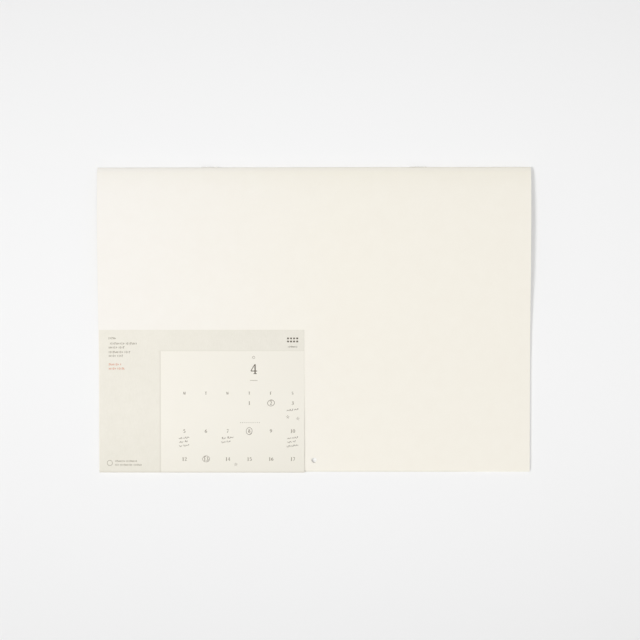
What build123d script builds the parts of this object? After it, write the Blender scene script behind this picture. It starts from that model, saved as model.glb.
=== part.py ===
"""A saddle-stitched wall calendar, folded shut and lying on its back, held closed by a paper band.

The booklet is a cover sheet and a block of inner sheets folded together and stapled through the fold.
It springs open behind the fold, so its section is a teardrop: tight crease, crown, gentle slope, flat fore edges.
The band is folded round the fore edges, with its back panel under the booklet.

X runs along the fold, +Y points to the fold and +Z up from the table.
The origin is at the middle of the whole thing, on the table.
"""

import math
import os

from build123d import *

# Booklet sheets, before folding
sheet_width = 297.0
sheet_length = 420.0
cover_thickness = 0.14
leaf_thickness = 0.11
inner_sheets = 6
# The fold is this far off the middle of the sheets, so the back edges stand out past the front ones
fold_offset = 0.3
# Air between the cover and the block, and between the two innermost leaves where the booklet lies shut
leaf_fit = 0.02
shut_gap = 0.05

# Sprung fold, all on the outside of the cover
crease_radius = 1.4
crease_exit_angle = 35.0
shoulder_angle = 6.0
crown_height = 5.5
crown_distance = 36.0
settle_distance = 140.0
# The back dips from the band's back panel down to the table over this run, starting this far past the panel
dip_run = 40.0
dip_margin = 2.0

# Hanging hole, punched through every leaf
hole_diameter = 3.5
hole_inset = 7.0

# Wire staples
wire_diameter = 0.5
staple_crown = 11.5
staple_spacing = 143.0
staple_leg = 4.6
wire_bend_slack = 0.05
wire_fit = 0.03

# Paper band
band_thickness = 0.2
band_width = 141.5
band_front = 98.5
band_back = 98.5
band_inset = 0.4
band_slack = 0.3
band_crease = 0.3
# The band's front springs up from the cover towards its crease, and is level for the last stretch
band_spring = 0.45
band_level = 12.0

# Length of cutting tools beyond what they cut
overshoot = 5.0

# Sizes that follow from the ones above
block_thickness = leaf_thickness * inner_sheets
half_thickness = cover_thickness + leaf_fit + block_thickness
shut_thickness = 2 * half_thickness + shut_gap
shut_top = band_thickness + shut_thickness
wire_radius = wire_diameter / 2
staple_reach = wire_fit + wire_diameter

exit_angle = math.radians(crease_exit_angle)
rest_angle = math.radians(shoulder_angle)
# The shoulder and crown arcs together climb from the crease to the crown's height and distance
climb = crown_height - crease_radius * (1 + math.cos(exit_angle))
advance = crown_distance - crease_radius * (1 - math.sin(exit_angle))
shoulder_lift = math.cos(rest_angle) - math.cos(exit_angle)
shoulder_run = math.sin(exit_angle) - math.sin(rest_angle)
crown_lift = 1 - math.cos(rest_angle)
crown_run = math.sin(rest_angle)
spread = shoulder_lift * crown_run - shoulder_run * crown_lift
shoulder_radius = (climb * crown_run - advance * crown_lift) / spread
crown_radius = (advance * shoulder_lift - climb * shoulder_run) / spread


def easing(drop, run):
    """Radius and turn of the two equal arcs that step a level line by drop over run."""
    turn = 2 * math.atan2(drop, run)
    return run / math.sin(turn) / 2, math.degrees(turn)


slope_radius, slope_turn = easing(crown_height - shut_top, settle_distance - crown_distance)
dip_radius, dip_turn = easing(band_thickness, dip_run)

# The two halves of the cover, measured along its outer face from the tip of the fold
front_half = sheet_length / 2 - fold_offset
back_half = sheet_length / 2 + fold_offset
back_depth = back_half + crease_radius * (1 - math.pi / 2)
back_depth -= 2 * dip_radius * math.radians(dip_turn) - dip_run
front_curve = crease_radius * (math.pi / 2 - exit_angle)
front_curve += shoulder_radius * (exit_angle - rest_angle)
front_curve += crown_radius * rest_angle
front_curve += 2 * slope_radius * math.radians(slope_turn)
front_flat = front_half - front_curve
front_depth = settle_distance + front_flat

band_depth = back_depth + band_slack + band_thickness
fold_y = (band_depth - staple_reach) / 2
band_foot = fold_y - band_depth
hole_y = fold_y - front_depth + hole_inset
dip_start = fold_y - (band_depth - band_back - dip_margin)


def chain(start, heading, steps):
    """Edges that follow one another smoothly.

    A step is a straight run (length, 0) or an arc (radius, turn), with left turns positive.
    """
    edges = []
    point = Vector(*start)
    tangent = Vector(*heading)
    for size, turn in steps:
        if turn:
            edge = JernArc(point, tangent, size, turn)
        else:
            edge = Line(point, point + tangent * size)
        edges.append(edge)
        point = edge @ 1
        tangent = edge % 1
    return edges


def sheet_section(outer, inner):
    """The face between two parallel chains of edges that run the same way."""
    first_end = Line(outer[0] @ 0, inner[0] @ 0)
    last_end = Line(outer[-1] @ 1, inner[-1] @ 1)
    return make_face(outer + inner + [first_end, last_end])


def across(section, width):
    """Stretch a section drawn in Y and Z along X, to width, about the middle."""
    return extrude(Plane.YZ * section, amount=width / 2, both=True)


def folded_line(depth):
    """The booklet's section line, depth inside the cover's outer face, from the back edge to the front edge."""
    raised_run = dip_start - (fold_y - back_depth)
    table_run = fold_y - crease_radius - (dip_start + dip_run)
    steps = [
        (raised_run, 0),
        (dip_radius + depth, -dip_turn),
        (dip_radius - depth, dip_turn),
        (table_run, 0),
        (crease_radius - depth, 180 - crease_exit_angle),
        (shoulder_radius - depth, crease_exit_angle - shoulder_angle),
        (crown_radius - depth, shoulder_angle),
        (slope_radius - depth, slope_turn),
        (slope_radius + depth, -slope_turn),
        (front_flat, 0),
    ]
    return chain((fold_y - back_depth, band_thickness + depth), (1, 0), steps)


def folded_sheets(depth, thickness):
    """A folded layer of the booklet, its outer face depth inside the cover's, with its hanging hole."""
    section = sheet_section(folded_line(depth), folded_line(depth + thickness))
    layer = across(section, sheet_width)
    punch = Cylinder(hole_diameter / 2, crown_height + 2 * overshoot)
    return layer - Pos(0, hole_y, shut_top) * punch


def staple_holes():
    """The four holes that the staple legs leave through the fold."""
    awl = Rot(90, 0, 0) * Cylinder(wire_radius + wire_fit, 2 * half_thickness)
    depth = fold_y - half_thickness / 2
    legs = [(side * staple_spacing + end * staple_crown) / 2 for side in (-1, 1) for end in (-1, 1)]
    return [Pos(leg, depth, crease_radius) * awl for leg in legs]


def staple():
    """One clinched wire staple, centred on X, its crown outside the fold and its legs turned in."""
    crown_y = fold_y + wire_fit + wire_radius
    clinch_y = fold_y - half_thickness - wire_fit - wire_radius
    bend = wire_radius + wire_bend_slack
    side = staple_crown / 2
    tip = side - staple_leg
    left_leg = [(-tip, clinch_y), (-side, clinch_y), (-side, crown_y)]
    right_leg = [(side, crown_y), (side, clinch_y), (tip, clinch_y)]
    path = FilletPolyline(*left_leg, *right_leg, radius=bend)
    end_face = Plane(origin=path @ 0, z_dir=path % 0) * Circle(wire_radius)
    wire = sweep(end_face, path=path)
    return Pos(0, 0, crease_radius) * wire


def band_line(depth):
    """The band's section line, depth inside its outer face, from the back panel's edge round to the crown."""
    spring_run = front_depth - band_level - settle_distance
    spring_radius, spring_turn = easing(band_spring, spring_run)
    crease = band_crease + band_thickness
    spine = shut_top + leaf_fit + band_spring + band_thickness - 2 * crease
    level = band_depth - settle_distance - spring_run - crease
    rise = leaf_fit + band_thickness
    steps = [
        (band_back - crease, 0),
        (crease - depth, -90),
        (spine, 0),
        (crease - depth, -90),
        (level, 0),
        (spring_radius - depth, -spring_turn),
        (spring_radius + depth, spring_turn),
        (slope_radius - rise + depth, slope_turn),
        (slope_radius + rise - depth, -slope_turn),
    ]
    return chain((band_foot + band_back, depth), (-1, 0), steps)


def paper_band():
    """The band round the fore edges, its front panel cut off level at its own height."""
    section = sheet_section(band_line(0), band_line(band_thickness))
    strip = across(section, band_width)
    height = crown_height + 2 * overshoot
    keep = Box(
        band_width + 2 * overshoot,
        band_front + overshoot,
        height,
        align=(Align.CENTER, Align.MAX, Align.CENTER),
    )
    strip &= Pos(0, band_foot + band_front, 0) * keep
    left = -sheet_width / 2 + band_inset
    return Pos(left + band_width / 2, 0, 0) * strip


cover = folded_sheets(0, cover_thickness)
pages = folded_sheets(cover_thickness + leaf_fit, block_thickness)
for hole in staple_holes():
    cover -= hole
    pages -= hole
staples = Compound(children=[Pos(side * staple_spacing / 2, 0, 0) * staple() for side in (-1, 1)])
wrapper = paper_band()

os.makedirs("parts", exist_ok=True)
export_step(cover, "parts/cover.step")
export_step(pages, "parts/pages.step")
export_step(staples, "parts/staples.step")
export_step(wrapper, "parts/wrapper.step")
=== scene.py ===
import logging
import math
from collections.abc import Iterator
from contextlib import contextmanager
from dataclasses import dataclass, field, replace
from enum import Enum

import bpy
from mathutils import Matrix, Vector


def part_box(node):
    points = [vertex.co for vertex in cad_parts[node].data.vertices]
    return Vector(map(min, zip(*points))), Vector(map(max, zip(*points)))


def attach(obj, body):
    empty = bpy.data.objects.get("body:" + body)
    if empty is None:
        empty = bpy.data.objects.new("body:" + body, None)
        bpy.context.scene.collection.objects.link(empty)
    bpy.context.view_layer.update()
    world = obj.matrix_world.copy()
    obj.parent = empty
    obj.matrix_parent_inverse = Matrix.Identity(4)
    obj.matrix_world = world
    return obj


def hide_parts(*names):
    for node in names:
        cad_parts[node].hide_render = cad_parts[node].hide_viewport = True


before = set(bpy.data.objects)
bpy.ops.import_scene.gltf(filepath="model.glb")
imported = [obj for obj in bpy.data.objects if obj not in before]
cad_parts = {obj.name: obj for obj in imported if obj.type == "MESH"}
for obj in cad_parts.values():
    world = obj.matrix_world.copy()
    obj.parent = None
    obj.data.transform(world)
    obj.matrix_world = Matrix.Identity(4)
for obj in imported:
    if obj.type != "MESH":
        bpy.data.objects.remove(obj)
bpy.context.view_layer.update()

MM = 0.001
BODY = "root"
LOG = logging.getLogger("wall_calendar")
# Where most values of a noise texture lie
NOISE_SPAN = (0.3, 0.7)

Pair = tuple[float, float]
Triple = tuple[float, float, float]
Colour = tuple[float, float, float, float]
Tree = bpy.types.NodeTree
Socket = bpy.types.NodeSocket
Material = bpy.types.Material
Piece = bpy.types.Object


def linear(code: str) -> Colour:
    """Turn an sRGB hex colour into linear light.

    Args:
        code: six hex digits, such as "f5f2e8".

    Returns:
        Red, green, blue and an alpha of one.
    """
    channels = [int(code[at:at + 2], 16) / 255 for at in (0, 2, 4)]
    bright = [c / 12.92 if c <= 0.04045 else ((c + 0.055) / 1.055) ** 2.4 for c in channels]
    return (*bright, 1.0)


def add_node(tree: Tree, kind: str, inputs: dict | None = None, **settings: object) -> bpy.types.Node:
    """Add a node, set its properties, and set or link its inputs.

    Args:
        tree: the node tree to add to.
        kind: the node's type name, without the words that all shader nodes start with.
        inputs: socket name or number to a value, or to the output socket to link.
        settings: the node's own properties.

    Returns:
        The new node.
    """
    node = tree.nodes.new(f"ShaderNode{kind}")
    for name, value in settings.items():
        setattr(node, name, value)
    for socket, value in (inputs or {}).items():
        if isinstance(value, Socket):
            tree.links.new(value, node.inputs[socket])
        else:
            node.inputs[socket].default_value = value
    return node


def ramp(tree: Tree, axis: int, start: float, end: float, fall: float = 1.0, **settings: object) -> Socket:
    """Add a share that grows from nought to one between two places on the object.

    Args:
        tree: the node tree to add to.
        axis: the number of the object's axis.
        start: where the share is nought, in metres.
        end: where it is one.
        fall: the power of the share, above one where it keeps close to its end.
        settings: properties of the range.

    Returns:
        The share.
    """
    place = add_node(tree, "TexCoord").outputs["Object"]
    axes = add_node(tree, "SeparateXYZ", {0: place})
    span = {0: axes.outputs[axis], "From Min": start, "From Max": end}
    share = add_node(tree, "MapRange", span, **settings)
    return add_node(tree, "Math", {0: share.outputs[0], 1: fall}, operation="POWER").outputs[0]


def wash(tree: Tree, colour: Socket, tone: str, *shares: Socket) -> Socket:
    """Multiply a colour by a tone, as far as the shares together say.

    Args:
        tree: the node tree to add to.
        colour: the colour to tone.
        tone: the tone's hex colour.
        shares: each nought for none of the tone and one for all of it.

    Returns:
        The toned colour.
    """
    amount = 1.0
    for share in shares:
        amount = add_node(tree, "Math", {0: amount, 1: share}, operation="MULTIPLY").outputs[0]
    toned = add_node(tree, "Mix", {
        0: amount, 6: colour, 7: linear(tone)}, data_type="RGBA", blend_type="MULTIPLY")
    return toned.outputs[2]


def per_metre(size_mm: float) -> float:
    """Return the texture scale at which one cell of a pattern is size_mm wide."""
    return 1.0 / (size_mm * MM)


def deselect() -> None:
    """Deselect every object, as before a new primitive is added."""
    bpy.ops.object.select_all(action="DESELECT")


def pick(piece: Piece) -> None:
    """Make a piece the only selected and active object.

    Args:
        piece: the object to pick.
    """
    deselect()
    piece.select_set(True)
    bpy.context.view_layer.objects.active = piece


@contextmanager
def editing(piece: Piece) -> Iterator[None]:
    """Open a piece in Edit Mode with all of its mesh selected, and close it again.

    Args:
        piece: the mesh object to open.

    Yields:
        Nothing, while the mesh is open.
    """
    pick(piece)
    bpy.ops.object.mode_set(mode="EDIT")
    bpy.ops.mesh.select_all(action="SELECT")
    yield
    bpy.ops.object.mode_set(mode="OBJECT")


def close_mesh(piece: Piece, merge_mm: float = 0.002, smooth_degrees: float = 32.0) -> None:
    """Merge doubles, turn the faces outwards and shade gentle bends smooth.

    Args:
        piece: the mesh object to clean.
        merge_mm: points nearer than this become one.
        smooth_degrees: edges that turn less than this are shaded smooth.
    """
    with editing(piece):
        bpy.ops.mesh.remove_doubles(threshold=merge_mm * MM)
        bpy.ops.mesh.normals_make_consistent(inside=False)
    bpy.ops.object.shade_smooth_by_angle(angle=math.radians(smooth_degrees))


def join(pieces: list[Piece], name: str) -> Piece:
    """Join meshes into one piece.

    Args:
        pieces: the objects to join, the first of which stays.
        name: the joined piece's name.

    Returns:
        The joined piece.
    """
    pick(pieces[0])
    for piece in pieces:
        piece.select_set(True)
    bpy.ops.object.join()
    joined = bpy.context.view_layer.objects.active
    joined.name = joined.data.name = name
    return joined


def hand_in(piece: Piece, slot: str, *nodes: str) -> None:
    """Let a piece ride on the calendar's body, and hide the solids that it stands for.

    Args:
        piece: the finished piece.
        slot: the material slot of the record that it belongs to; not used.
        nodes: the solids that it replaces.
    """
    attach(piece, BODY)
    if nodes:
        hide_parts(*nodes)


@dataclass(frozen=True)
class Finish:
    """What a piece looks like: its material's name, and what its shader is fed."""

    name: str

    def inputs(self, tree: Tree, place: Socket) -> dict:
        """Add the finish's patterns by the place on the object, and return what goes into the shader."""
        raise NotImplementedError

    def material(self) -> Material:
        """Make the finish's material.

        Returns:
            The new material, its shader fed by the finish's patterns.
        """
        material = bpy.data.materials.new(self.name)
        material.use_nodes = True
        tree = material.node_tree
        tree.nodes.clear()
        place = add_node(tree, "TexCoord").outputs["Object"]
        shader = add_node(tree, "BsdfPrincipled", self.inputs(tree, place))
        add_node(tree, "OutputMaterial", {"Surface": shader.outputs[0]})
        return material


@dataclass(frozen=True)
class UncoatedPaper(Finish):
    """Uncoated wood-free paper, felted wet from short fibres: matt, a little cloudy, with a fine tooth."""

    light: str
    dark: str
    cloud_mm: float = 9.0
    cloud_share: float = 0.5
    # Real fibres are a few hundredths of a millimetre wide, drawn coarser here so that they show
    fibre_mm: float = 0.9
    fibre_stretch: float = 2.6
    fibre_height_mm: float = 0.006
    tone_span: Pair = (0.45, 1.05)
    roughness: Pair = (0.74, 0.9)
    ior: float = 1.47

    def tinted(self, tree: Tree, colour: Socket) -> Socket:
        """Return the paper's colour with what light, hands or print add to it, here nothing."""
        return colour

    def inputs(self, tree: Tree, place: Socket) -> dict:
        """Feed clouds and fibres to the colour, and fibres to the height and the gloss.

        Args:
            tree: the material's node tree.
            place: the place on the object.

        Returns:
            The paper's colour, roughness, IOR and normal.
        """
        stretched = add_node(tree, "Mapping", {0: place, "Scale": (1.0, self.fibre_stretch, 1.0)})
        cloud = add_node(tree, "TexNoise", {
            "Vector": place, "Scale": per_metre(self.cloud_mm), "Detail": 3.0, "Roughness": 0.55})
        fibre = add_node(tree, "TexNoise", {
            "Vector": stretched.outputs[0], "Scale": per_metre(self.fibre_mm), "Detail": 5.0,
            "Roughness": 0.62, "Distortion": 1.4}).outputs[0]
        pattern = add_node(tree, "Math", {
            0: cloud.outputs[0], 1: self.cloud_share, 2: fibre}, operation="MULTIPLY_ADD")
        share = add_node(tree, "MapRange", {
            0: pattern.outputs[0], "From Min": self.tone_span[0], "From Max": self.tone_span[1]})
        colour = add_node(tree, "Mix", {
            0: share.outputs[0], 6: linear(self.light), 7: linear(self.dark)}, data_type="RGBA")
        rough = add_node(tree, "MapRange", {
            0: fibre, "From Min": NOISE_SPAN[0], "From Max": NOISE_SPAN[1],
            "To Min": self.roughness[0], "To Max": self.roughness[1]})
        bump = add_node(tree, "Bump", {
            "Height": fibre, "Strength": 0.5, "Distance": self.fibre_height_mm * MM})
        return {
            "Base Color": self.tinted(tree, colour.outputs[2]), "Roughness": rough.outputs[0],
            "IOR": self.ior, "Normal": bump.outputs[0]}


@dataclass(frozen=True)
class BleachedPaper(UncoatedPaper):
    """Cream paper, with a painted highlight that leaves it paler to the left, where the key light is
    strongest, and painted shade just behind the fold, where it curves away from the light.
    """

    # Tone of the paper past the painted highlight, to the right
    cream: str = "fffef9"
    # Where along the fold the painted highlight leaves the paper palest, and from where on it is cream
    bleached_mm: float = -136.0
    cream_mm: float = 20.0
    # Where the fold is, in metres
    fold: float = 0.0
    # Tone of the painted shade behind the fold, where the paper curves away from the light
    held: str = "fbfbf8"
    # How far behind the fold the painted shade starts, is full, and ends
    held_mm: Triple = (1.5, 4.0, 24.0)
    held_fall: float = 2.5

    def tinted(self, tree: Tree, colour: Socket) -> Socket:
        """Make the paper creamier to the right, leaving a painted highlight to the left, and paint shade
        behind the fold.

        Args:
            tree: the material's node tree.
            colour: the paper's own colour.

        Returns:
            The toned colour.
        """
        # Painted highlight: the paper is left paler to the left, where the key light is strongest
        colour = wash(tree, colour, self.cream, ramp(tree, 0, self.bleached_mm * MM, self.cream_mm * MM))
        # Painted shade behind the fold, where the paper curves away from the light
        start, full, end = (self.fold - reach * MM for reach in self.held_mm)
        near = ramp(tree, 1, end, self.fold, self.held_fall)
        return wash(tree, colour, self.held, near, ramp(tree, 1, start, full))


@dataclass(frozen=True)
class HandledPaper(UncoatedPaper):
    """Cream paper with painted shade along its open edge, where the leaves reach past the front cover's
    edge, less so at the right, and a darker tone painted on its left end, which faces the key light.
    """

    # Where the open edge and the left end are, in metres
    edge: float = 0.0
    left: float = 0.0
    # Tone of the painted shade along the open edge, where the leaves reach past the front cover's edge
    grey: str = "efeeeb"
    # How far in from the edge the painted shade is full and how far it goes, and where along the edge it
    # fades out
    grey_mm: Pair = (0.5, 0.7)
    fade_mm: Pair = (93.0, 114.0)
    # A darker tone painted on the left end, which faces the key light, to dim the light that it throws back
    # on the table
    end_grey: str = "bebcb6"
    # How far in from the left end its painted shade is full, and how far it goes
    end_mm: Pair = (0.05, 0.2)

    def tinted(self, tree: Tree, colour: Socket) -> Socket:
        """Paint shade on the paper at its open edge and its left end.

        Args:
            tree: the material's node tree.
            colour: the paper's own colour.

        Returns:
            The toned colour.
        """
        full, none = (self.edge + reach * MM for reach in self.grey_mm)
        # Along the edge, the painted shade is full up to the first place and gone past the second
        shade_full_at, clean = (place * MM for place in self.fade_mm)
        colour = wash(tree, colour, self.grey, ramp(tree, 1, none, full), ramp(tree, 0, clean, shade_full_at))
        # Painted shade on the left end, which faces the key light
        full, none = (self.left + reach * MM for reach in self.end_mm)
        return wash(tree, colour, self.end_grey, ramp(tree, 0, none, full))


# Sized on the machine and left without a coating: a soft cream face with hardly any shine
COVER_PAPER = BleachedPaper("uncoated_cream_cover_paper", "f7f4ee", "f4f0e9")
# The same pulp in thinner sheets, guillotined in a stack: cream lines with dark hairlines between them
LEAF_PAPER = HandledPaper("uncoated_cream_leaf_paper", "f6f4ec", "efebdf", cloud_mm=4.0)
# Card off the roll, die cut: a paler edge and inside that set off the print
CARD = UncoatedPaper("unprinted_band_card", "f4f2ec", "edeae1", cloud_mm=6.0)


@dataclass(frozen=True)
class Step:
    """One stretch of a sheet or wire: a straight run, or a bend of a radius by an angle, left positive."""

    size: float
    turn: float = 0.0
    segments: int = 1


def easing(drop: float, run: float) -> Pair:
    """Work out the two equal bends that step a level line by drop over run.

    Args:
        drop: change of level in mm.
        run: length in mm over which it changes.

    Returns:
        The radius of both bends in mm and the angle of each in degrees.
    """
    turn = 2 * math.atan2(drop, run)
    return run / math.sin(turn) / 2, math.degrees(turn)


def sweep(steps: list[Step], at: Vector, ahead: Vector, axis: Vector) -> None:
    """Carry the selected face along runs and round bends, all in one plane.

    Args:
        steps: the runs and bends.
        at: where the line that they are measured on starts, in mm.
        ahead: its heading there.
        axis: the direction that the bends turn about.
    """
    left, angle = axis.cross(ahead), 0.0
    for step in steps:
        if not step.turn:
            move = (ahead * math.cos(angle) + left * math.sin(angle)) * step.size
            bpy.ops.mesh.extrude_region_move(TRANSFORM_OT_translate={"value": move * MM})
            at = at + move
            continue
        turn = math.radians(step.turn)
        radius = math.copysign(step.size, turn)
        centre = at + (left * math.cos(angle) - ahead * math.sin(angle)) * radius
        bpy.ops.mesh.spin(
            steps=step.segments, angle=-turn, center=centre * MM, axis=axis, use_auto_merge=False)
        angle += turn
        at = centre - (left * math.cos(angle) - ahead * math.sin(angle)) * radius


@dataclass
class FoldedSheet:
    """A sheet of even thickness that is bent along a line across its width."""

    name: str
    middle: float
    width: float
    thickness: float
    start: Pair
    heading: int
    steps: list[Step]

    def build(self) -> Piece:
        """Draw the sheet's edge as a narrow face, then extrude it along runs and spin it round bends.

        Returns:
            The bent sheet, closed.
        """
        deselect()
        y, z = self.start
        centre = Vector((self.middle, y, z + self.thickness / 2)) * MM
        bpy.ops.mesh.primitive_plane_add(size=1.0, location=centre, rotation=(math.pi / 2, 0, 0))
        piece = bpy.context.active_object
        piece.name = self.name
        piece.scale = (self.width * MM, self.thickness * MM, 1.0)
        bpy.ops.object.transform_apply(location=True, rotation=True, scale=True)
        with editing(piece):
            sweep(self.steps, Vector((0.0, y, z)), Vector((0.0, self.heading, 0.0)), Vector((1.0, 0.0, 0.0)))
        close_mesh(piece)
        return piece


@dataclass
class Booklet:
    """The stapled booklet: cover and leaves, sprung open behind the fold. Sizes in mm."""

    width: float = 297.0
    front_half: float = 209.7
    cover_thickness: float = 0.14
    leaf_thickness: float = 0.11
    inner_sheets: int = 6
    leaf_fit: float = 0.02
    shut_gap: float = 0.05
    crease_radius: float = 1.4
    exit_angle: float = 35.0
    shoulder_angle: float = 6.0
    crown_height: float = 5.5
    crown_distance: float = 36.0
    settle_distance: float = 140.0
    lift: float = 0.2
    dip_run: float = 40.0
    dip_margin: float = 2.0
    band_back: float = 98.5
    band_slack: float = 0.3
    hole_diameter: float = 3.5
    hole_inset: float = 7.0
    hole_sides: int = 72
    # Long enough to go through every layer
    punch_length: float = 22.0
    # Air that shows each leaf as a line at the cut edges, and the spread of the leaves under the crown
    leaf_air: float = 0.018
    leaf_fan: float = 0.11
    fold_y: float = field(init=False)
    back_y: float = field(init=False)
    front_y: float = field(init=False)

    def __post_init__(self) -> None:
        """Take the fold and the back edge from the solids, and work out the front edge."""
        low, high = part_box("cover")
        self.fold_y = high[1] / MM
        self.back_y = low[1] / MM
        # The shoulder, the crown and both bends of the slope
        front_bends = self.line(0.0, 0.0)[5:9]
        bends = sum(step.size * math.radians(abs(step.turn)) for step in front_bends)
        crease = self.crease_radius * math.radians(90 - self.exit_angle)
        self.front_y = self.fold_y - self.settle_distance - (self.front_half - crease - bends)

    @property
    def half_thickness(self) -> float:
        """Thickness of one half of the shut booklet."""
        return self.cover_thickness + self.leaf_fit + self.leaf_thickness * self.inner_sheets

    @property
    def shut_top(self) -> float:
        """Height of the front cover where the booklet lies shut."""
        return self.lift + 2 * self.half_thickness + self.shut_gap

    def line(self, depth: float, sag: float, front_run: float = 0.0) -> list[Step]:
        """Lay out the section of one folded layer, from its back edge round to its front edge.

        Args:
            depth: how far the layer's outer face lies inside the cover's.
            sag: how much lower than its place in the stack its crown hangs.
            front_run: length of the level stretch at the front edge.

        Returns:
            The runs and bends of its outer face.
        """
        crease = self.crease_radius - depth
        out, rest = math.radians(self.exit_angle), math.radians(self.shoulder_angle)
        crown = self.crown_height - depth - sag
        # The shoulder and crown bends together climb from the crease to the crown's height and distance
        climb = crown - self.crease_radius - crease * math.cos(out)
        advance = self.crown_distance - self.crease_radius + crease * math.sin(out)
        lift_a, lift_b = math.cos(rest) - math.cos(out), 1 - math.cos(rest)
        run_a, run_b = math.sin(out) - math.sin(rest), math.sin(rest)
        spread = lift_a * run_b - run_a * lift_b
        shoulder = (climb * run_b - advance * lift_b) / spread
        crown_bend = (advance * lift_a - climb * run_a) / spread
        slope, slope_turn = easing(crown - self.shut_top + depth, self.settle_distance - self.crown_distance)
        dip, dip_turn = easing(self.lift, self.dip_run)
        foot = self.back_y - self.band_slack - self.lift
        dip_start = foot + self.band_back + self.dip_margin
        return [
            Step(dip_start - self.back_y),
            Step(dip + depth, -dip_turn, segments=6),
            Step(dip - depth, dip_turn, segments=6),
            Step(self.fold_y - self.crease_radius - dip_start - self.dip_run),
            Step(crease, 180 - self.exit_angle, segments=32),
            Step(shoulder, self.exit_angle - self.shoulder_angle, segments=14),
            Step(crown_bend, self.shoulder_angle, segments=14),
            Step(slope, slope_turn, segments=18),
            Step(slope, -slope_turn, segments=18),
            Step(front_run),
        ]

    def layer(self, name: str, depth: float, thickness: float, sag: float = 0.0) -> Piece:
        """Bend one layer of the booklet.

        Args:
            name: the layer's name.
            depth: how far its outer face lies inside the cover's.
            thickness: the layer's thickness.
            sag: how much its crown hangs down.

        Returns:
            The folded layer, without holes.
        """
        front_run = self.fold_y - self.settle_distance - self.front_y
        steps = self.line(depth, sag, front_run)
        start = (self.back_y, self.lift + depth)
        return FoldedSheet(name, 0.0, self.width, thickness, start, 1, steps).build()

    def punch(self, piece: Piece, staples: "Staples") -> None:
        """Punch the hanging hole and the staple holes through a layer.

        Args:
            piece: the layer.
            staples: the staples whose legs go through it.
        """
        deselect()
        place = Vector((0.0, self.front_y + self.hole_inset, self.shut_top)) * MM
        bpy.ops.mesh.primitive_cylinder_add(
            vertices=self.hole_sides, radius=self.hole_diameter / 2 * MM, depth=self.punch_length * MM,
            location=place)
        punches = [bpy.context.active_object]
        for leg in staples.legs():
            deselect()
            bpy.ops.mesh.primitive_cylinder_add(
                vertices=staples.sides, radius=(staples.wire_radius + staples.wire_fit) * MM,
                depth=2 * self.half_thickness * MM, rotation=(math.pi / 2, 0, 0),
                location=Vector((leg, self.fold_y - self.half_thickness / 2, self.crease_radius)) * MM)
            punches.append(bpy.context.active_object)
        tool = join(punches, "punch")
        pick(piece)
        cut = piece.modifiers.new("punched", "BOOLEAN")
        cut.operation = "DIFFERENCE"
        cut.solver = "EXACT"
        cut.object = tool
        bpy.ops.object.modifier_apply(modifier=cut.name)
        bpy.data.objects.remove(tool, do_unlink=True)
        close_mesh(piece, merge_mm=0.0005)

    def build(self, staples: "Staples") -> list[Piece]:
        """Build, dress and hand in the cover and the leaves.

        Args:
            staples: the staples that hold the booklet.

        Returns:
            Both pieces.
        """
        cover = self.layer("cover_sheet", 0.0, self.cover_thickness)
        self.punch(cover, staples)
        cover.data.materials.append(replace(COVER_PAPER, fold=self.fold_y * MM).material())
        hand_in(cover, "cover_paper", "cover")
        block = self.cover_thickness + self.leaf_fit
        leaves = [
            self.layer(
                f"leaf_{at}", block + at * self.leaf_thickness, self.leaf_thickness - self.leaf_air,
                at * self.leaf_fan)
            for at in range(self.inner_sheets)
        ]
        pages = join(leaves, "leaves")
        self.punch(pages, staples)
        paper = replace(LEAF_PAPER, edge=self.back_y * MM, left=-self.width / 2 * MM)
        pages.data.materials.append(paper.material())
        hand_in(pages, "leaf_paper", "pages")
        return [cover, pages]


@dataclass(frozen=True)
class DrawnWire(Finish):
    """Galvanised steel wire, drawn through a die: bright, with fine lines along its length."""

    name: str = "galvanised_staple_wire"
    light: str = "ecebe8"
    dark: str = "cfcecb"
    # Real drawing lines are a few thousandths of a millimetre apart, drawn coarser here so that they show
    line_mm: float = 0.12
    stretch: float = 0.04
    roughness: Pair = (0.22, 0.42)

    def inputs(self, tree: Tree, place: Socket) -> dict:
        """Feed the drawing lines to the colour and the gloss.

        Args:
            tree: the material's node tree.
            place: the place on the object.

        Returns:
            The wire's colour, metallic share and roughness.
        """
        drawn = add_node(tree, "Mapping", {0: place, "Scale": (self.stretch, 1.0, 1.0)})
        lines = add_node(tree, "TexNoise", {
            "Vector": drawn.outputs[0], "Scale": per_metre(self.line_mm), "Detail": 3.0})
        colour = add_node(tree, "Mix", {
            0: lines.outputs[0], 6: linear(self.dark), 7: linear(self.light)}, data_type="RGBA")
        rough = add_node(tree, "MapRange", {
            0: lines.outputs[0], "From Min": NOISE_SPAN[0], "From Max": NOISE_SPAN[1],
            "To Min": self.roughness[0], "To Max": self.roughness[1]})
        return {"Base Color": colour.outputs[2], "Metallic": 1.0, "Roughness": rough.outputs[0]}


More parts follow.
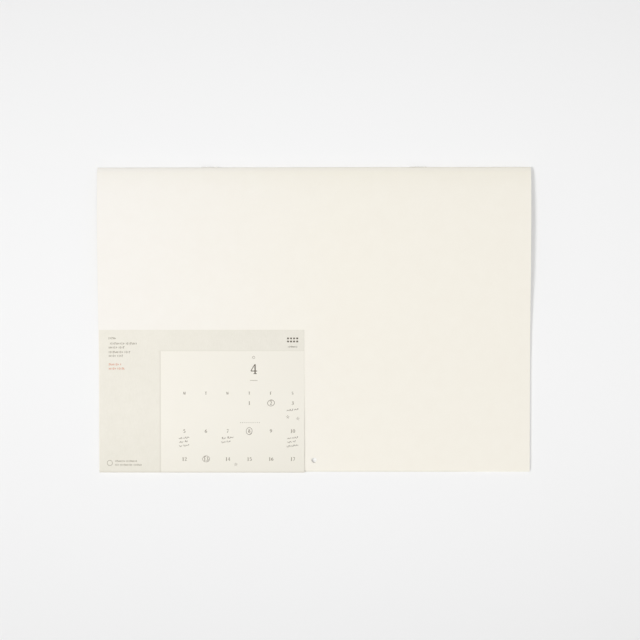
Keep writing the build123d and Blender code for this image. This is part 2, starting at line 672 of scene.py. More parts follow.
@dataclass
class Staples:
    """The two clinched wire staples through the fold. Sizes in mm."""

    wire_radius: float = 0.25
    wire_fit: float = 0.03
    crown: float = 11.5
    spacing: float = 143.0
    leg: float = 4.6
    bend_slack: float = 0.05
    sides: int = 20
    bend_segments: int = 8

    def legs(self) -> list[float]:
        """Return the place of each leg along the fold."""
        return [(side * self.spacing + end * self.crown) / 2 for side in (-1, 1) for end in (-1, 1)]

    def wire(self, booklet: Booklet, middle: float) -> Piece:
        """Bend one staple from a round of wire: clinched leg, through the fold, crown, and back.

        Args:
            booklet: the booklet that it holds.
            middle: the staple's place along the fold.

        Returns:
            The staple.
        """
        crown_y = booklet.fold_y + self.wire_fit + self.wire_radius
        clinch_y = booklet.fold_y - booklet.half_thickness - self.wire_fit - self.wire_radius
        bend = self.wire_radius + self.bend_slack
        at = Vector((middle - self.crown / 2 + self.leg, clinch_y, booklet.crease_radius))
        deselect()
        bpy.ops.mesh.primitive_circle_add(
            vertices=self.sides, radius=self.wire_radius * MM, fill_type="NGON",
            location=at * MM, rotation=(0, math.pi / 2, 0))
        piece = bpy.context.active_object
        bpy.ops.object.transform_apply(location=True, rotation=True, scale=True)
        leg, corner = Step(self.leg - bend), Step(bend, -90.0, self.bend_segments)
        through, crown = Step(crown_y - clinch_y - 2 * bend), Step(self.crown - 2 * bend)
        steps = [leg, corner, through, corner, crown, corner, through, corner, leg]
        with editing(piece):
            sweep(steps, at, Vector((-1.0, 0.0, 0.0)), Vector((0.0, 0.0, 1.0)))
        close_mesh(piece)
        return piece

    def build(self, booklet: Booklet) -> list[Piece]:
        """Build, dress and hand in both staples.

        Args:
            booklet: the booklet that they hold.

        Returns:
            Both staples.
        """
        left = self.wire(booklet, -self.spacing / 2)
        left.name = left.data.name = "staple_left"
        left.data.materials.append(DrawnWire().material())
        pick(left)
        bpy.ops.object.duplicate(linked=False)
        right = bpy.context.active_object
        right.name = right.data.name = "staple_right"
        bpy.ops.transform.translate(value=(self.spacing * MM, 0.0, 0.0))
        bpy.ops.object.transform_apply(location=True, rotation=True, scale=True)
        for staple in (left, right):
            hand_in(staple, "staple_wire", "staples")
        return [left, right]


@dataclass(frozen=True)
class CardPrint(UncoatedPaper):
    """Offset print on the band's card, with painted shade towards the scored crease, where the band rolls
    down away from the light.
    """

    # Where the crease is, in metres
    foot: float = 0.0
    # How far each painted shade reaches from the crease, its tone, and how fast it fades
    rub: tuple[float, str, float] = (45.0, "f9f9f8", 1.7)
    score: tuple[float, str, float] = (1.6, "f1f0ef", 1.0)

    def tinted(self, tree: Tree, colour: Socket) -> Socket:
        """Paint shade on the print towards the crease, and most along the crease itself.

        Args:
            tree: the material's node tree.
            colour: the print's own colour.

        Returns:
            The toned colour.
        """
        # Painted shade towards the crease, where the band rolls down away from the light
        for reach, tone, fall in (self.rub, self.score):
            colour = wash(tree, colour, tone, ramp(tree, 1, self.foot + reach * MM, self.foot, fall))
        return colour


@dataclass(frozen=True)
class BandPrint(CardPrint):
    """Beige offset print on the band's card, with the soft printed shade round the pictured sheet."""

    shade: str = "e3ded2"
    top_shade: str = "e8e4d8"
    shade_mm: float = 2.2
    shade_fall: float = 2.0
    corner_mm: float = 0.3
    far: str = "fbfbfb"
    # Where the pictured sheet's borders and the band's right edge are, in metres
    field_left: float = 0.0
    field_top: float = 0.0
    right: float = 0.0

    def tinted(self, tree: Tree, colour: Socket) -> Socket:
        """Dull the print to the right, and shade it along the pictured sheet's left and top.

        Args:
            tree: the material's node tree.
            colour: the print's own colour.

        Returns:
            The toned colour.
        """
        colour = wash(tree, colour, self.far, ramp(tree, 0, self.field_left, self.right))
        reach = self.shade_mm * MM
        soft = {"fall": self.shade_fall, "interpolation_type": "SMOOTHSTEP"}
        left = ramp(tree, 0, self.field_left - reach, self.field_left, **soft)
        top = ramp(tree, 1, self.field_top + reach, self.field_top, **soft)
        both = add_node(tree, "Math", {0: left, 1: top}, operation="MULTIPLY")
        above = ramp(tree, 1, self.field_top, self.field_top + self.corner_mm * MM)
        shade = add_node(tree, "Mix", {
            0: above, 6: linear(self.shade), 7: linear(self.top_shade)}, data_type="RGBA")
        shaded = add_node(tree, "Mix", {
            0: both.outputs[0], 6: colour, 7: shade.outputs[2]}, data_type="RGBA")
        return super().tinted(tree, shaded.outputs[2])


@dataclass(frozen=True)
class PicturedSheet(CardPrint):
    """Cream offset print of a calendar sheet, a little deeper in tone towards its right."""

    far: str = "f0ece1"
    # Where its left border and the band's right edge are, in metres
    left: float = 0.0
    right: float = 0.0

    def tinted(self, tree: Tree, colour: Socket) -> Socket:
        """Deepen the print to the right.

        Args:
            tree: the material's node tree.
            colour: the print's own colour.

        Returns:
            The toned colour.
        """
        deeper = add_node(tree, "Mix", {
            0: ramp(tree, 0, self.left, self.right), 6: colour, 7: linear(self.far)}, data_type="RGBA")
        return super().tinted(tree, deeper.outputs[2])


class Ink(Enum):
    """The inks on the band: each one's piece name and colour."""

    HEADING = ("band_heading", "483d2c")
    DATES = ("band_dates", "635642")
    SMALL_PRINT = ("band_small_print", "8a7f6d")
    RED_PRINT = ("band_red_print", "cf7e55")
    PEN = ("band_pen_notes", "5f5040")

    @property
    def piece_name(self) -> str:
        """Name of the piece that holds this ink."""
        return self.value[0]

    @property
    def colour(self) -> str:
        """The ink's hex colour."""
        return self.value[1]


@dataclass(frozen=True)
class OffsetInk(Finish):
    """Offset ink, sunk into uncoated card: matt and slightly uneven, where fibres take less of it."""

    ink: Ink
    paper: str = "efebe0"
    speckle_mm: float = 0.5
    speckle_span: Pair = (0.4, 0.75)
    missed: float = 0.22
    roughness: float = 0.7

    def inputs(self, tree: Tree, place: Socket) -> dict:
        """Feed the ink's colour, speckled with the card's.

        Args:
            tree: the material's node tree.
            place: the place on the object.

        Returns:
            The ink's colour and roughness.
        """
        speckle = add_node(tree, "TexNoise", {
            "Vector": place, "Scale": per_metre(self.speckle_mm), "Detail": 4.0})
        share = add_node(tree, "MapRange", {
            0: speckle.outputs[0], "From Min": self.speckle_span[0], "From Max": self.speckle_span[1],
            "To Max": self.missed})
        colour = add_node(tree, "Mix", {
            0: share.outputs[0], 6: linear(self.ink.colour), 7: linear(self.paper)}, data_type="RGBA")
        return {"Base Color": colour.outputs[2], "Roughness": self.roughness}


@dataclass(frozen=True)
class Stroke:
    """One pen stroke: points with a half-width each, in shares of a figure's height or in mm."""

    points: tuple[Triple, ...]
    smooth: bool = True
    closed: bool = False

    def placed(self, x: float, y: float, size: float) -> "Stroke":
        """Return the stroke moved to x and y, and scaled by size."""
        points = tuple((x + px * size, y + py * size, w * size) for px, py, w in self.points)
        return replace(self, points=points)


def bar(x0: float, y0: float, x1: float, y1: float, half_width: float) -> Stroke:
    """Return a straight stroke of even width."""
    return Stroke(((x0, y0, half_width), (x1, y1, half_width)), smooth=False)


def curve(*points: Triple) -> Stroke:
    """Return a smooth open stroke through the points."""
    return Stroke(points)


def loop(*points: Triple) -> Stroke:
    """Return a smooth closed stroke through the points."""
    return Stroke(points, closed=True)


def ring(x: float, y: float, radius: float, half_width: float) -> Stroke:
    """Return a round closed stroke."""
    turns = [k * math.pi / 4 for k in range(8)]
    return loop(*((x + radius * math.cos(a), y + radius * math.sin(a), half_width) for a in turns))


# Figures and weekday initials, drawn in a plain book hand: half-widths of its hairlines and stems
FINE, FAT = 0.027, 0.068
SIX = (
    curve((0.40, 0.68, FINE), (0.20, 0.52, 0.05), (0.08, 0.24, FAT), (0.25, 0.01, FINE), (0.42, 0.21, FAT),
          (0.27, 0.40, FINE), (0.11, 0.28, FINE)),
)
FIGURES: dict[str, tuple[Stroke, ...]] = {
    "0": (loop((0.25, 0.70, FINE), (0.43, 0.35, FAT), (0.25, 0.0, FINE), (0.07, 0.35, FAT)),),
    "1": (bar(0.13, 0.60, 0.27, 0.69, FINE), bar(0.27, 0.70, 0.27, 0.0, FAT),
          bar(0.13, 0.0, 0.41, 0.0, FINE)),
    "2": (curve((0.08, 0.53, FAT), (0.12, 0.65, FINE), (0.25, 0.70, FINE), (0.40, 0.55, FAT),
                (0.29, 0.28, 0.035), (0.08, 0.04, FINE)), bar(0.07, 0.03, 0.45, 0.03, 0.045)),
    "3": (curve((0.09, 0.60, 0.035), (0.24, 0.70, FINE), (0.38, 0.55, FAT), (0.19, 0.38, FINE)),
          curve((0.19, 0.38, FINE), (0.42, 0.20, FAT), (0.22, 0.0, FINE), (0.07, 0.10, 0.05))),
    "4": (bar(0.33, 0.70, 0.03, 0.20, 0.028), bar(0.03, 0.20, 0.50, 0.20, 0.034),
          bar(0.35, 0.71, 0.35, 0.0, 0.046), bar(0.23, 0.0, 0.47, 0.0, 0.026)),
    "5": (bar(0.12, 0.67, 0.42, 0.67, 0.045), bar(0.12, 0.68, 0.10, 0.38, FINE),
          curve((0.10, 0.38, FINE), (0.26, 0.43, FINE), (0.42, 0.23, FAT), (0.24, 0.0, FINE),
                (0.07, 0.09, 0.045))),
    "6": SIX,
    "7": (bar(0.07, 0.67, 0.44, 0.67, 0.045), Stroke(((0.43, 0.67, FINE), (0.21, 0.0, FAT)), smooth=False)),
    "8": (loop((0.25, 0.70, FINE), (0.39, 0.55, 0.05), (0.25, 0.38, 0.05), (0.08, 0.18, FAT),
               (0.25, 0.0, FINE), (0.42, 0.18, FAT), (0.25, 0.38, 0.05), (0.11, 0.55, 0.05)),),
    "9": tuple(Stroke(tuple((0.5 - x, 0.7 - y, w) for x, y, w in s.points)) for s in SIX),
    "M": (bar(0.02, 0.0, 0.07, 0.70, FINE), bar(0.07, 0.70, 0.27, 0.04, 0.05),
          bar(0.27, 0.04, 0.47, 0.70, FINE), bar(0.47, 0.70, 0.51, 0.0, FAT)),
    "T": (bar(0.03, 0.68, 0.49, 0.68, 0.03), bar(0.26, 0.68, 0.26, 0.0, FAT),
          bar(0.16, 0.0, 0.36, 0.0, FINE)),
    "W": (bar(-0.02, 0.70, 0.13, 0.0, 0.05), bar(0.13, 0.0, 0.26, 0.62, FINE),
          bar(0.26, 0.62, 0.39, 0.0, 0.05), bar(0.39, 0.0, 0.54, 0.70, FINE)),
    "F": (bar(0.13, 0.70, 0.13, 0.0, FAT), bar(0.05, 0.68, 0.44, 0.68, 0.03),
          bar(0.13, 0.36, 0.35, 0.36, 0.025), bar(0.04, 0.0, 0.24, 0.0, FINE)),
    "S": (curve((0.39, 0.57, 0.035), (0.24, 0.70, FINE), (0.10, 0.54, 0.05), (0.25, 0.36, FAT),
                (0.40, 0.17, 0.05), (0.23, 0.0, FINE), (0.07, 0.12, 0.035)),),
}
FIGURE_WIDTH = 0.50
FIGURE_HEIGHT = 0.70


@dataclass
class SheetPrint:
    """What is printed and written on the band's front, in mm from its top left corner, y down.

    The pictured sheet is a plain month grid. Lines of small print are rows of plain ticks.
    """

    field_left: float = 42.5
    field_top: float = 14.6
    heading: str = "4"
    heading_x: float = 106.6
    heading_y: float = 30.2
    heading_height: float = 6.4
    # How far down the rule under the heading stands, its half length and its half width
    heading_rule: Triple = (34.9, 2.6, 0.13)
    punch_y: float = 19.0
    punch_radius: float = 0.8
    punch_pen: float = 0.1
    # The plain mark at the top right: rows of squares over a line
    mark_left: float = 129.6
    mark_rows: tuple[float, ...] = (5.9, 8.0)
    mark_columns: int = 4
    mark_pitch: float = 2.1
    mark_square: float = 1.3
    mark_pen: float = 0.57
    mark_line: Triple = (11.7, 7.6, 1.2)
    first_column: float = 58.6
    column_pitch: float = 14.95
    day_row: float = 44.6
    day_height: float = 1.9
    days: str = "MTWTFS"
    first_date_row: float = 51.6
    date_row_pitch: float = 19.32
    date_height: float = 2.3
    date_gap: float = 0.04
    # First date of each row, and the column that it stands in
    date_rows: tuple[tuple[int, int], ...] = ((1, 3), (5, 0), (12, 0))
    ringed: tuple[int, ...] = (2, 8, 13)
    ring_radius: float = 2.2
    ring_pen: float = 0.15
    # Dates with a note: how many lines it has and how long they are
    noted: tuple[tuple[int, int, float], ...] = ((3, 1, 8.2), (5, 3, 7.0), (7, 2, 8.0), (10, 3, 7.6))
    note_pen: float = 0.2
    note_drop: float = 4.0
    note_pitch: float = 2.7
    note_height: float = 1.5
    # Every other line of a note is shorter by this share
    note_indent: float = 0.22
    # Dates with a star, and where it stands from the date
    starred: tuple[tuple[int, float, float], ...] = ((3, -3.4, 8.4), (3, 3.6, 9.6), (14, 5.6, 2.6))
    star_size: float = 1.25
    # How far down each small line stands, and its length
    small_left: float = 6.9
    small_height: float = 1.6
    small_lines: tuple[Pair, ...] = ((5.7, 5.4), (9.4, 20.0), (12.1, 11.0), (15.3, 15.8), (17.9, 10.8))
    red_lines: tuple[Pair, ...] = ((23.8, 9.4), (26.7, 11.9))
    foot_left: float = 11.1
    foot_height: float = 1.36
    foot_lines: tuple[Pair, ...] = ((90.6, 15.5), (93.2, 19.0))
    # Middle, radius and half width of the ring beside the foot lines
    foot_ring: tuple[float, float, float, float] = (7.1, -91.9, 1.8, 0.14)
    # The dotted rule over the second row of dates
    dots_left: float = 97.2
    dots_down: float = 63.9
    dot_count: int = 10
    dot_pitch: float = 1.45
    dot_length: float = 0.4
    dot_pen: float = 0.24
    # A line of small print, in shares of its height: pitch, half width and reach of its ticks
    tick_pitch: float = 0.62
    tick_pen: float = 0.116
    tick_reach: Pair = (0.5, 0.36)
    # A tick's side stroke, in shares of the pitch and of the tick's half width
    tick_arm: float = 0.8

    def figures(self, text: str, x: float, base: float, height: float) -> list[Stroke]:
        """Set figures in a row about a place.

        Args:
            text: the figures to set.
            x: the middle of the row.
            base: the line that they stand on.
            height: their height.

        Returns:
            Their strokes.
        """
        size = height / FIGURE_HEIGHT
        pitch = (FIGURE_WIDTH + self.date_gap) * size
        left = x - (len(text) - 1) * pitch / 2 - FIGURE_WIDTH * size / 2
        return [
            stroke.placed(left + at * pitch, -base, size)
            for at, figure in enumerate(text)
            for stroke in FIGURES[figure]
        ]

    def column(self, number: int) -> float:
        """Return the middle of a weekday's column."""
        return self.first_column + number * self.column_pitch

    def dates(self) -> list[tuple[int, float, float]]:
        """Place the dates on the grid.

        Returns:
            Each date's number, its x and the line that it stands on.
        """
        found = []
        for row, (first, start) in enumerate(self.date_rows):
            base = self.first_date_row + row * self.date_row_pitch
            for column in range(start, len(self.days)):
                found.append((first + column - start, self.column(column), base))
        return found

    def heading_print(self) -> list[Stroke]:
        """Draw the month's number and the plain mark at the top right.

        Returns:
            The strokes.
        """
        strokes = self.figures(self.heading, self.heading_x, self.heading_y, self.heading_height)
        for column in range(self.mark_columns):
            left = self.mark_left + column * self.mark_pitch
            right = left + self.mark_square
            strokes += [bar(left, -row, right, -row, self.mark_pen) for row in self.mark_rows]
        return strokes + self.words(self.mark_left, *self.mark_line)

    def grid(self) -> list[Stroke]:
        """Draw the weekday row, the dates and the sheet's own hanging hole.

        Returns:
            The strokes.
        """
        strokes = []
        for number, day in enumerate(self.days):
            strokes += self.figures(day, self.column(number), self.day_row, self.day_height)
        for date, x, base in self.dates():
            strokes += self.figures(str(date), x, base, self.date_height)
        strokes.append(ring(self.heading_x, -self.punch_y, self.punch_radius, self.punch_pen))
        return strokes

    def words(self, left: float, down: float, length: float, height: float) -> list[Stroke]:
        """Draw a line of small print as a row of plain ticks, in groups of word length.

        Args:
            left: where the line starts.
            down: how far down its middle stands.
            length: the line's length.
            height: the height of the ticks.

        Returns:
            The ticks.
        """
        half, pitch = self.tick_pen * height, self.tick_pitch * height
        strokes = []
        for number in range(int(length / pitch)):
            # A beat of eleven, started anew on each line, sets the gaps, the tall ticks and the side strokes
            beat = (7 * number + int(5 * down)) % 11
            if beat == 3:
                continue
            x = left + number * pitch
            reach = height * self.tick_reach[min(beat % 3, 1)]
            strokes.append(bar(x, -down - reach, x, -down + reach, half))
            if beat % 2:
                level = -down + reach * (beat % 5 - 2) / 3
                strokes.append(bar(x, level, x + self.tick_arm * pitch, level, half * self.tick_arm))
        return strokes

    def small_print(self) -> list[Stroke]:
        """Draw the grey small print, the ring at the foot and the pictured sheet's two rules.

        Returns:
            The strokes.
        """
        rows = [(self.small_left, *line, self.small_height) for line in self.small_lines]
        rows += [(self.foot_left, *line, self.foot_height) for line in self.foot_lines]
        strokes = [tick for row in rows for tick in self.words(*row)]
        strokes.append(ring(*self.foot_ring))
        down, half, pen = self.heading_rule
        strokes.append(bar(self.heading_x - half, -down, self.heading_x + half, -down, pen))
        for number in range(self.dot_count):
            left = self.dots_left + number * self.dot_pitch
            strokes.append(bar(left, -self.dots_down, left + self.dot_length, -self.dots_down, self.dot_pen))
        return strokes

    def red_print(self) -> list[Stroke]:
        """Draw the two red lines."""
        rows = [(self.small_left, *line, self.small_height) for line in self.red_lines]
        return [tick for row in rows for tick in self.words(*row)]

    def hand_ring(self, x: float, y: float, turn: float) -> Stroke:
        """Draw a ring by hand: a little uneven, with its ends crossing.

        Args:
            x: its middle, across.
            y: its middle, up.
            turn: where on the ring the pen starts.

        Returns:
            The stroke.
        """
        count, stride = 11, 0.7
        mean, wobble, growth = 0.94, 0.08, 0.012
        points = []
        for k in range(count):
            angle = turn + k * stride
            reach = self.ring_radius * (mean + wobble * math.sin(2 * angle + turn) + growth * k)
            points.append((x + reach * math.cos(angle), y + reach * math.sin(angle), self.ring_pen))
        return curve(*points)

    def scribble(self, x: float, down: float, length: float, seed: float) -> list[Stroke]:
        """Write a line of loops and waves in two words, as quick handwriting looks from a step away.

        Args:
            x: where it starts.
            down: how far down it runs.
            length: its length.
            seed: sets its shape.

        Returns:
            The strokes.
        """
        # Waves of unlike lengths set the space, the loops and the pressure, so no two lines are the same
        first_word, word_wave = 0.42, 0.16
        space, points_per_mm, climb = 0.12, 1.7, 0.9
        loop_stride, loop_height, loop_width = 2.2, 0.5, 0.2
        size_stride, mean_size, size_wave = 0.8, 0.6, 0.4
        mean_press, press_wave = 0.8, 0.3
        split = first_word + word_wave * math.sin(seed * 2.3)
        strokes = []
        for first, last in ((0.0, split), (split + space, 1.0)):
            count = max(4, round((last - first) * length * points_per_mm))
            points = []
            for k in range(count + 1):
                along = first + (last - first) * k / count
                swing = seed * 1.7 + k * loop_stride
                size = mean_size + size_wave * math.sin(seed + k * size_stride)
                rise = loop_height * math.sin(swing) * size
                px = x + along * length + loop_width * self.note_height * math.cos(swing)
                half_width = self.note_pen * (mean_press + press_wave * math.sin(swing))
                points.append((px, -down + rise * self.note_height + along * climb, half_width))
            strokes.append(curve(*points))
        return strokes

    def star(self, x: float, y: float) -> Stroke:
        """Draw a five-pointed star in one closed stroke.

        Args:
            x: its middle, across.
            y: its middle, up.

        Returns:
            The stroke.
        """
        turns = [math.radians(90 + 144 * k) for k in range(5)]
        size = self.star_size
        points = tuple((x + size * math.cos(a), y + size * math.sin(a), self.ring_pen) for a in turns)
        return Stroke(points, smooth=False, closed=True)

    def notes(self) -> list[Stroke]:
        """Write the rings, stars and short notes of a calendar in use, each shaped by its date.

        Returns:
            The strokes.
        """
        strokes = []
        places = {date: (x, base) for date, x, base in self.dates()}
        for date in self.ringed:
            x, base = places[date]
            strokes.append(self.hand_ring(x, -base + self.date_height / 2, 0.6 * date))
        for date, lines, length in self.noted:
            x, base = places[date]
            for line in range(lines):
                span = length * (1.0 - self.note_indent * (line % 2))
                down = base + self.note_drop + line * self.note_pitch
                strokes += self.scribble(x - length / 2, down, span, date + 1.3 * line)
        for date, aside, down in self.starred:
            x, base = places[date]
            strokes.append(self.star(x + aside, -base - down))
        return strokes


@dataclass
class PaperBand:
    """The printed band folded round the open edges. Sizes in mm."""

    booklet: Booklet
    design: SheetPrint
    thickness: float = 0.2
    width: float = 141.5
    front: float = 98.5
    back: float = 98.5
    inset: float = 0.4
    slack: float = 0.3
    crease: float = 0.3
    spring: float = 0.45
    level: float = 12.0
    # Height of a line of ink, in shares of its width
    ink_flatness: float = 0.06

    @property
    def left(self) -> float:
        """Place of the band's left edge."""
        return -self.booklet.width / 2 + self.inset

    @property
    def foot(self) -> float:
        """Place of the band's outer crease."""
        return self.booklet.back_y - self.slack - self.thickness

    @property
    def top_edge(self) -> float:
        """Place of the front panel's top edge."""
        return self.foot + self.front

    @property
    def borders(self) -> Pair:
        """Left and top border of the pictured sheet, in metres."""
        return (self.left + self.design.field_left) * MM, (self.top_edge - self.design.field_top) * MM

    def line(self) -> list[Step]:
        """Lay out the band's section, from the back panel's edge round to the front panel's.

        Returns:
            The runs and bends of its outer face.
        """
        booklet = self.booklet
        rise = booklet.leaf_fit + self.thickness
        bend = self.crease + self.thickness
        settle_y = booklet.fold_y - booklet.settle_distance
        spring_run = settle_y - booklet.front_y - self.level
        spring, spring_turn = easing(self.spring, spring_run)
        crown = booklet.crown_height - booklet.shut_top
        slope, _ = easing(crown, booklet.settle_distance - booklet.crown_distance)
        up = math.degrees(math.asin((self.top_edge - settle_y) / (slope - rise)))
        return [
            Step(self.back - bend),
            Step(bend, -90.0, segments=10),
            Step(booklet.shut_top + rise + self.spring - 2 * bend),
            Step(bend, -90.0, segments=10),
            Step(settle_y - spring_run - self.foot - bend),
            Step(spring, -spring_turn, segments=16),
            Step(spring, spring_turn, segments=16),
            Step(slope - rise, up, segments=14),
        ]

    def build(self) -> list[Piece]:
        """Build, print, dress and hand in the band and its inks.

        Returns:
            The band and each ink.
        """
        middle = self.left + self.width / 2
        start = (self.foot + self.back, 0.0)
        sheet = FoldedSheet("band_sheet", middle, self.width, self.thickness, start, -1, self.line())
        piece = sheet.build()
        self.part_fields(piece)
        self.dress(piece)
        hand_in(piece, "band_paper", "wrapper")
        drawn = {
            Ink.HEADING: self.design.heading_print(),
            Ink.DATES: self.design.grid(),
            Ink.SMALL_PRINT: self.design.small_print(),
            Ink.RED_PRINT: self.design.red_print(),
            Ink.PEN: self.design.notes(),
        }
        return [piece, *(self.lay_ink(ink, strokes, piece) for ink, strokes in drawn.items())]

    def part_fields(self, piece: Piece) -> None:
        """Cut the band's faces along the borders of the pictured sheet.

        Args:
            piece: the band.
        """
        border_x, border_y = self.borders
        for place, across in (((border_x, 0, 0), (1, 0, 0)), ((0, border_y, 0), (0, 1, 0))):
            with editing(piece):
                bpy.ops.mesh.bisect(plane_co=place, plane_no=across)

    def dress(self, piece: Piece) -> None:
        """Give the card, the beige print and the pictured sheet their faces.

        Args:
            piece: the band, cut along the borders.
        """
        border_x, border_y = self.borders
        foot, right = self.foot * MM, (self.left + self.width) * MM
        # A fine screen of tint over uncoated card: a flat beige through which long fibres show
        beige = BandPrint(
            "beige_offset_print_on_card", "f0ece1", "eae6da", cloud_mm=7.0, fibre_mm=1.1, fibre_stretch=0.3,
            foot=foot, field_left=border_x, field_top=border_y, right=right)
        # A lighter screen on the same card: a smooth warm cream that stands out from the beige
        sheet = PicturedSheet(
            "cream_offset_print_on_card", "f6f2e8", "f3efe4", cloud_mm=11.0,
            foot=foot, left=border_x, right=right)
        for material in (CARD.material(), beige.material(), sheet.material()):
            piece.data.materials.append(material)
        lower = self.thickness / 2 * MM
        upper = (self.booklet.shut_top + self.booklet.leaf_fit) * MM + lower
        # A face looks towards a side, or lies level, when its normal points there by this much
        towards, level = 0.2, 0.9
        for face in piece.data.polygons:
            centre, normal = face.center, face.normal
            front = normal.z > towards and centre.z > upper
            back = normal.z < -towards and centre.z < lower
            spine = normal.y < -towards
            if abs(normal.x) > towards or not (front or back or spine):
                face.material_index = 0
            elif normal.z > level and centre.x > border_x and centre.y < border_y:
                face.material_index = 2
            else:
                face.material_index = 1

    def height_at(self, piece: Piece, x: float, y: float) -> float:
        """Return the height of the band's front at a place, in metres."""
        hit, place, _, _ = piece.ray_cast(Vector((x, y, 1.0)), Vector((0.0, 0.0, -1.0)))
        return place.z if hit else 0.0

    def lay_ink(self, ink: Ink, strokes: list[Stroke], card: Piece) -> Piece:
        """Draw strokes as flat lines of ink on the band's front, and hand them in.

        Args:
            ink: the ink to draw with.
            strokes: what to draw, from the front panel's top left corner.
            card: the band.

        Returns:
            The ink's piece.
        """
        lines = bpy.data.curves.new(ink.piece_name, "CURVE")
        lines.dimensions = "3D"
        lines.twist_mode = "Z_UP"
        lines.bevel_depth = MM
        lines.bevel_resolution = 1
        lines.resolution_u = 5
        lines.use_fill_caps = True
        for stroke in strokes:
            spline = lines.splines.new("BEZIER")
            spline.bezier_points.add(len(stroke.points) - 1)
            spline.use_cyclic_u = stroke.closed
            spline.resolution_u = lines.resolution_u if stroke.smooth else 1
            for spot, (x, y, half_width) in zip(spline.bezier_points, stroke.points):
                spot.co = Vector((self.left + x, self.top_edge + y, 0.0)) * MM
                spot.radius = half_width
                spot.handle_left_type = spot.handle_right_type = "AUTO" if stroke.smooth else "VECTOR"
        piece = bpy.data.objects.new(ink.piece_name, lines)
        bpy.context.scene.collection.objects.link(piece)
        pick(piece)
        bpy.ops.object.convert(target="MESH")
        piece = bpy.context.view_layer.objects.active
        for vertex in piece.data.vertices:
            spot = vertex.co
            spot.z = spot.z * self.ink_flatness + self.height_at(card, spot.x, spot.y)
        close_mesh(piece, merge_mm=0.0005, smooth_degrees=60.0)
        piece.data.materials.clear()
        piece.data.materials.append(OffsetInk(f"offset_ink_{ink.name.lower()}", ink).material())
        hand_in(piece, "band_paper")
        return piece


@dataclass(frozen=True)
class Lamp:
    """A square soft box aimed at the calendar: place and side in metres, power in watts."""

    name: str
    place: Triple
    size: float
    power: float

    def hang(self) -> None:
        """Hang the lamp and aim it."""
        lamp = bpy.data.lights.new(self.name, "AREA")
        lamp.energy = self.power
        lamp.size = self.size
        holder = bpy.data.objects.new(self.name, lamp)
        holder.location = self.place
        holder.rotation_euler = (-Vector(self.place)).to_track_quat("-Z", "Y").to_euler()
        bpy.context.scene.collection.objects.link(holder)


@dataclass(frozen=True)
class TablePaint(Finish):
    """Matt white paint, rolled on: a plain pale top that keeps the shadow, and darkens a little far out as a
    painted falloff of the lamps' light.
    """

    name: str = "matt_white_table"
    # The tone in the middle, and the darkest tone of the painted falloff far out
    light: str = "f9f9f9"
    dark: str = "e1e1e1"
    # The painted falloff of the light comes sooner along Y than along X, by metres from the middle
    fade: Pair = (0.032, 0.53)
    stretch: float = 0.47
    middle: Pair = (0.077, 0.017)
    roughness: float = 0.9
    gloss: float = 0.1

    def inputs(self, tree: Tree, place: Socket) -> dict:
        """Feed a colour that fades in an oval: the painted falloff of the light.

        Args:
            tree: the material's node tree.
            place: the place on the object.

        Returns:
            The paint's colour, roughness and gloss.
        """
        x, y = self.middle
        oval = add_node(tree, "Mapping", {
            0: place, "Location": (-x, -y, 0.0), "Scale": (self.stretch, 1.0, 1.0)})
        away = add_node(tree, "VectorMath", {0: oval.outputs[0]}, operation="LENGTH")
        share = add_node(tree, "MapRange", {
            0: away.outputs["Value"], "From Min": self.fade[0], "From Max": self.fade[1]},
            interpolation_type="SMOOTHSTEP")
        colour = add_node(tree, "Mix", {
            0: share.outputs[0], 6: linear(self.light), 7: linear(self.dark)}, data_type="RGBA")
        return {
            "Base Color": colour.outputs[2], "Roughness": self.roughness, "Specular IOR Level": self.gloss}


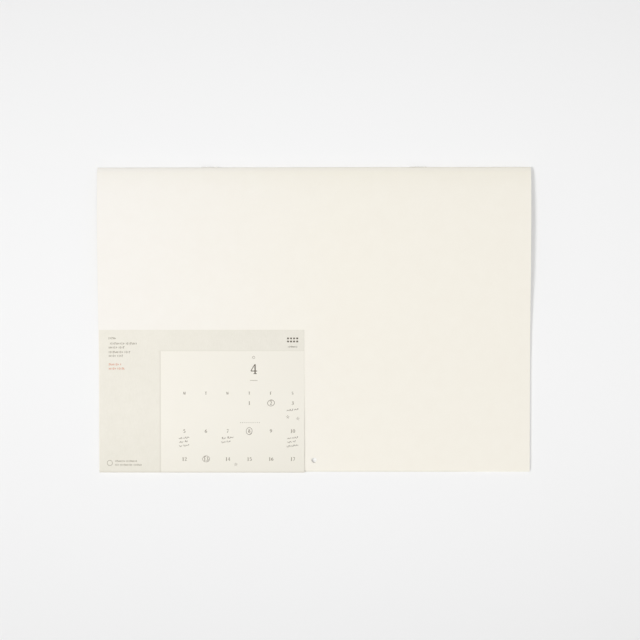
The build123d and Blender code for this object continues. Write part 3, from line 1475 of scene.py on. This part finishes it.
@dataclass
class Studio:
    """The pale table, the soft light from the left and the camera above. Sizes in metres."""

    table_size: float = 5.0
    table_height: float = -0.02 * MM
    # The room's light on the pieces, and its brightness as seen
    sky: float = 0.33
    backdrop: float = 0.94
    camera_place: Triple = (0.0128, 0.0231, 0.9)
    camera_turn: Triple = (-1.475, 0.55, -0.045)
    camera_near: float = 0.01
    lens: float = 73.47
    lamps: tuple[Lamp, ...] = (
        Lamp("key", (-1.565, -0.074, 2.301), 0.742, 29.6),
        Lamp("fill", (0.35, -3.55, 3.2), 3.2, 20.6),
        Lamp("overhead", (0.25, 0.0, 6.5), 4.0, 138.0),
    )

    def table(self) -> None:
        """Lay the table just under the calendar."""
        deselect()
        bpy.ops.mesh.primitive_plane_add(size=self.table_size, location=(0.0, 0.0, self.table_height))
        top = bpy.context.active_object
        top.name = "table"
        top.data.materials.append(TablePaint().material())

    def light(self) -> None:
        """Hang the lamps and set the even light of the room."""
        for lamp in self.lamps:
            lamp.hang()
        world = bpy.data.worlds.new("room")
        world.use_nodes = True
        tree = world.node_tree
        tree.nodes.clear()
        path = add_node(tree, "LightPath")
        seen = add_node(tree, "Math", {
            0: path.outputs["Is Camera Ray"], 1: path.outputs["Is Glossy Ray"]}, operation="MAXIMUM")
        shown = add_node(tree, "Math", {
            0: seen.outputs[0], 1: path.outputs["Is Transmission Ray"]}, operation="MAXIMUM")
        strength = add_node(tree, "MapRange", {
            0: shown.outputs[0], "To Min": self.sky, "To Max": self.backdrop})
        glow = add_node(tree, "Background", {
            "Color": linear("ffffff"), "Strength": strength.outputs[0]})
        add_node(tree, "OutputWorld", {"Surface": glow.outputs[0]})
        bpy.context.scene.world = world

    def camera(self) -> None:
        """Hang the camera above the calendar, looking down."""
        eye = bpy.data.cameras.new("camera")
        eye.lens = self.lens
        eye.clip_start = self.camera_near
        holder = bpy.data.objects.new("camera", eye)
        holder.location = self.camera_place
        holder.rotation_euler = [math.radians(turn) for turn in self.camera_turn]
        bpy.context.scene.collection.objects.link(holder)
        bpy.context.scene.camera = holder

    def build(self) -> None:
        """Set up the table, the light, the camera and the plain view of colours."""
        self.table()
        self.light()
        self.camera()
        bpy.context.scene.view_settings.view_transform = "Standard"


def main() -> None:
    """Build the calendar's pieces in order and report each one, then set up the studio."""
    logging.basicConfig(level=logging.INFO, format="%(name)s: %(message)s")
    booklet, staples = Booklet(), Staples()
    band = PaperBand(booklet, SheetPrint())
    for piece in (*booklet.build(staples), *staples.build(booklet), *band.build()):
        finishes = ", ".join(material.name for material in piece.data.materials)
        LOG.info("%s: %d faces, %s", piece.name, len(piece.data.polygons), finishes)
    Studio().build()


if __name__ == "__main__":
    main()
